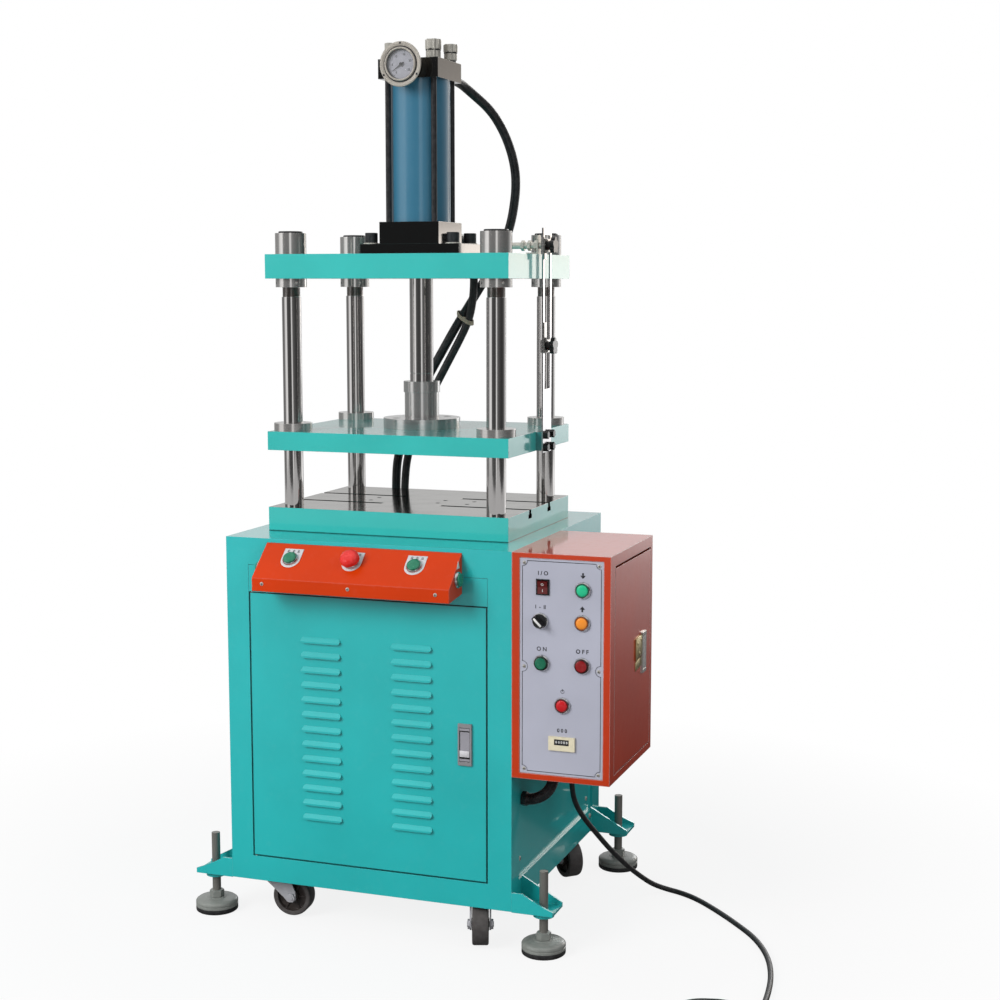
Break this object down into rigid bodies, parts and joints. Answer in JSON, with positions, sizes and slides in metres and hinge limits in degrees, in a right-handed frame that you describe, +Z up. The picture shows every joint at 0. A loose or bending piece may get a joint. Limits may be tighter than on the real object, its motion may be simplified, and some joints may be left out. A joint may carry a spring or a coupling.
{
  "type": "four-column hydraulic press",
  "caption": "Floor-standing hydraulic press: cabinet with a slotted table, guide columns, moving plate, top cylinder, sloped console and side electric box.",
  "frame": {"origin": "on the floor under the ram's axis, midway between the four levelling feet", "axes": "+X to the right seen from the front, +Y to the back, +Z up along the ram"},
  "size_m": [1.128, 0.863, 1.6503],
  "materials": {
    "cabinet_paint": "semi-gloss turquoise powder coat",
    "plate_paint": "semi-gloss turquoise paint on machined plate",
    "table_steel": "ground steel top, painted edges",
    "chrome_rod": "hard chrome",
    "turned_steel": "turned steel",
    "black_steel": "black oxide",
    "blue_paint": "gloss blue paint",
    "gauge_steel": "polished stainless steel",
    "needle_black": "matt black",
    "zinc": "zinc plated",
    "hose_rubber": "matt black",
    "console_paint": "semi-gloss orange powder coat",
    "box_paint": "semi-gloss orange powder coat",
    "panel_grey": "satin light grey",
    "bezel_chrome": "bright plated",
    "green_cap": "gloss",
    "red_cap": "gloss",
    "black_plastic": "gloss",
    "lens": "translucent coloured lenses",
    "latch_chrome": "satin plated",
    "latch_brass": "yellow passivated",
    "caster_zinc": "zinc plated",
    "wheel_black": "dark tread on a plastic core",
    "foot_steel": "plated steel on a rubber pad",
    "cord_black": "matt black",
    "plug_body": "satin",
    "unit_grey": "grey enamel",
    "bar_steel": "bright flat bar"
  },
  "bodies": {
    "cabinet": {"cabinet_frame": "cabinet_paint", "foot_brackets": "cabinet_paint", "cabinet_panels": "cabinet_paint", "small_screws": "zinc", "press_table": "table_steel", "guide_columns": "chrome_rod", "column_nuts": "turned_steel", "top_plate": "plate_paint", "cylinder_blocks": "black_steel", "cylinder_tube": "blue_paint", "cylinder_bolts": "black_steel", "pressure_gauge": "gauge_steel", "port_fittings": "zinc", "hose_upper": "hose_rubber", "hose_lower": "hose_rubber", "limit_sensor": "zinc", "console_housing": "console_paint", "button_trims": "bezel_chrome", "box_housing": "box_paint", "box_panel": "panel_grey", "lamp_lenses": "lens", "wiring_conduit": "black_plastic", "power_cord": "cord_black", "cord_coil": "cord_black", "cord_plug": "plug_body", "power_unit": "unit_grey", "caster_plates": "caster_zinc"},
    "needle": {"gauge_needle": "needle_black"},
    "door": {"front_door": "cabinet_paint"},
    "door_latch_paddle": {"door_paddle": "latch_chrome"},
    "side_door": {"box_door": "box_paint"},
    "side_latch_paddle": {"box_paddle": "latch_brass"},
    "platen": {"moving_plate": "plate_paint", "guide_bushes": "turned_steel", "ram_rod": "chrome_rod", "ram_coupling": "turned_steel", "limit_bar": "bar_steel"},
    "upper_stop_dog": {"upper_dog": "black_plastic"},
    "lower_stop_dog": {"lower_dog": "black_plastic"},
    "left_button": {"console_button_left": "green_cap"},
    "emergency_stop": {"console_stop": "red_cap"},
    "right_button": {"console_button_right": "green_cap"},
    "left_end_button": {"console_end_left": "green_cap"},
    "right_end_button": {"console_end_right": "green_cap"},
    "start_button": {"box_start_button": "green_cap"},
    "stop_button": {"box_stop_button": "red_cap"},
    "selector": {"mode_selector": "black_plastic"},
    "rocker": {"power_rocker": "red_cap"},
    "caster_fork_front_left": {"fork_front_left": "caster_zinc"},
    "caster_wheel_front_left": {"wheel_front_left": "wheel_black"},
    "caster_fork_front_right": {"fork_front_right": "caster_zinc"},
    "caster_wheel_front_right": {"wheel_front_right": "wheel_black"},
    "caster_fork_rear_left": {"fork_rear_left": "caster_zinc"},
    "caster_wheel_rear_left": {"wheel_rear_left": "wheel_black"},
    "caster_fork_rear_right": {"fork_rear_right": "caster_zinc"},
    "caster_wheel_rear_right": {"wheel_rear_right": "wheel_black"},
    "levelling_foot_front_left": {"foot_front_left": "foot_steel"},
    "levelling_foot_front_right": {"foot_front_right": "foot_steel"},
    "levelling_foot_rear_left": {"foot_rear_left": "foot_steel"},
    "levelling_foot_rear_right": {"foot_rear_right": "foot_steel"}
  },
  "joints": [
    {"name": "ram_slide", "type": "slide", "parent": "cabinet", "child": "platen", "axis": [0, 0, 1], "range_m": [-0.02, 0.18]},
    {"name": "gauge_needle_turn", "type": "hinge", "parent": "cabinet", "child": "needle", "pos_m": [-0.003, -0.085, 1.596], "axis": [0, 1, 0], "range_deg": [0, 270], "stiffness_Nm_per_rad": 0.0004, "springref_deg": -34.38},
    {"name": "door_swing", "type": "hinge", "parent": "cabinet", "child": "door", "pos_m": [-0.2298, -0.2728, 0.379], "axis": [0, 0, -1], "range_deg": [0, 110]},
    {"name": "door_latch_pull", "type": "hinge", "parent": "door", "child": "door_latch_paddle", "pos_m": [0.1925, -0.278, 0.4075], "axis": [-1, 0, 0], "range_deg": [0, 40]},
    {"name": "side_door_swing", "type": "hinge", "parent": "cabinet", "child": "side_door", "pos_m": [0.4568, -0.2448, 0.5265], "axis": [0, 0, -1], "range_deg": [0, 110]},
    {"name": "side_latch_pull", "type": "hinge", "parent": "side_door", "child": "side_latch_paddle", "pos_m": [0.462, -0.062, 0.553], "axis": [0, -1, 0], "range_deg": [0, 40]},
    {"name": "upper_dog_slide", "type": "slide", "parent": "platen", "child": "upper_stop_dog", "axis": [0, 0, 1], "range_m": [-0.05, 0.008]},
    {"name": "lower_dog_slide", "type": "slide", "parent": "platen", "child": "lower_stop_dog", "axis": [0, 0, 1], "range_m": [-0.06, 0.06]},
    {"name": "left_button_press", "type": "slide", "parent": "cabinet", "child": "left_button", "axis": [0, 0.6644, -0.7474], "range_m": [0, 0.003], "stiffness_N_per_m": 400, "springref_m": -0.003},
    {"name": "emergency_stop_press", "type": "slide", "parent": "cabinet", "child": "emergency_stop", "axis": [0, 0.6644, -0.7474], "range_m": [0, 0.003], "stiffness_N_per_m": 400, "springref_m": -0.003},
    {"name": "right_button_press", "type": "slide", "parent": "cabinet", "child": "right_button", "axis": [0, 0.6644, -0.7474], "range_m": [0, 0.003], "stiffness_N_per_m": 400, "springref_m": -0.003},
    {"name": "left_end_press", "type": "slide", "parent": "cabinet", "child": "left_end_button", "axis": [1, 0, 0], "range_m": [0, 0.003], "stiffness_N_per_m": 400, "springref_m": -0.003},
    {"name": "right_end_press", "type": "slide", "parent": "cabinet", "child": "right_end_button", "axis": [-1, 0, 0], "range_m": [0, 0.003], "stiffness_N_per_m": 400, "springref_m": -0.003},
    {"name": "start_press", "type": "slide", "parent": "cabinet", "child": "start_button", "axis": [0, 1, 0], "range_m": [0, 0.003], "stiffness_N_per_m": 400, "springref_m": -0.003},
    {"name": "stop_press", "type": "slide", "parent": "cabinet", "child": "stop_button", "axis": [0, 1, 0], "range_m": [0, 0.003], "stiffness_N_per_m": 400, "springref_m": -0.003},
    {"name": "selector_turn", "type": "hinge", "parent": "cabinet", "child": "selector", "pos_m": [0.3327, -0.275, 0.613], "axis": [0, -1, 0], "range_deg": [-90, 0]},
    {"name": "rocker_tilt", "type": "hinge", "parent": "cabinet", "child": "rocker", "pos_m": [0.337, -0.274, 0.673], "axis": [1, 0, 0], "range_deg": [-16, 0]},
    {"name": "caster_swivel_front_left", "type": "hinge", "parent": "cabinet", "child": "caster_fork_front_left", "pos_m": [-0.212, -0.228, 0.096], "axis": [0, 0, 1], "continuous": true},
    {"name": "caster_roll_front_left", "type": "hinge", "parent": "caster_fork_front_left", "child": "caster_wheel_front_left", "pos_m": [-0.17614, -0.22486, 0.0405], "axis": [-0.0872, 0.9962, 0], "continuous": true},
    {"name": "caster_swivel_front_right", "type": "hinge", "parent": "cabinet", "child": "caster_fork_front_right", "pos_m": [0.2, -0.218, 0.096], "axis": [0, 0, 1], "continuous": true},
    {"name": "caster_roll_front_right", "type": "hinge", "parent": "caster_fork_front_right", "child": "caster_wheel_front_right", "pos_m": [0.21208, -0.25191, 0.0405], "axis": [0.9421, 0.3355, 0], "continuous": true},
    {"name": "caster_swivel_rear_left", "type": "hinge", "parent": "cabinet", "child": "caster_fork_rear_left", "pos_m": [-0.228, 0.178, 0.096], "axis": [0, 0, 1], "continuous": true},
    {"name": "caster_roll_rear_left", "type": "hinge", "parent": "caster_fork_rear_left", "child": "caster_wheel_rear_left", "pos_m": [-0.21, 0.20918, 0.0405], "axis": [-0.866, 0.5, 0], "continuous": true},
    {"name": "caster_swivel_rear_right", "type": "hinge", "parent": "cabinet", "child": "caster_fork_rear_right", "pos_m": [0.228, 0.178, 0.096], "axis": [0, 0, 1], "continuous": true},
    {"name": "caster_roll_rear_right", "type": "hinge", "parent": "caster_fork_rear_right", "child": "caster_wheel_rear_right", "pos_m": [0.25328, 0.15237, 0.0405], "axis": [0.712, 0.7022, 0], "continuous": true},
    {"name": "foot_screw_front_left", "type": "slide", "parent": "cabinet", "child": "levelling_foot_front_left", "axis": [0, 0, 1], "range_m": [-0.025, 0]},
    {"name": "foot_screw_front_right", "type": "slide", "parent": "cabinet", "child": "levelling_foot_front_right", "axis": [0, 0, 1], "range_m": [-0.025, 0]},
    {"name": "foot_screw_rear_left", "type": "slide", "parent": "cabinet", "child": "levelling_foot_rear_left", "axis": [0, 0, 1], "range_m": [-0.025, 0]},
    {"name": "foot_screw_rear_right", "type": "slide", "parent": "cabinet", "child": "levelling_foot_rear_right", "axis": [0, 0, 1], "range_m": [-0.025, 0]}
  ]
}
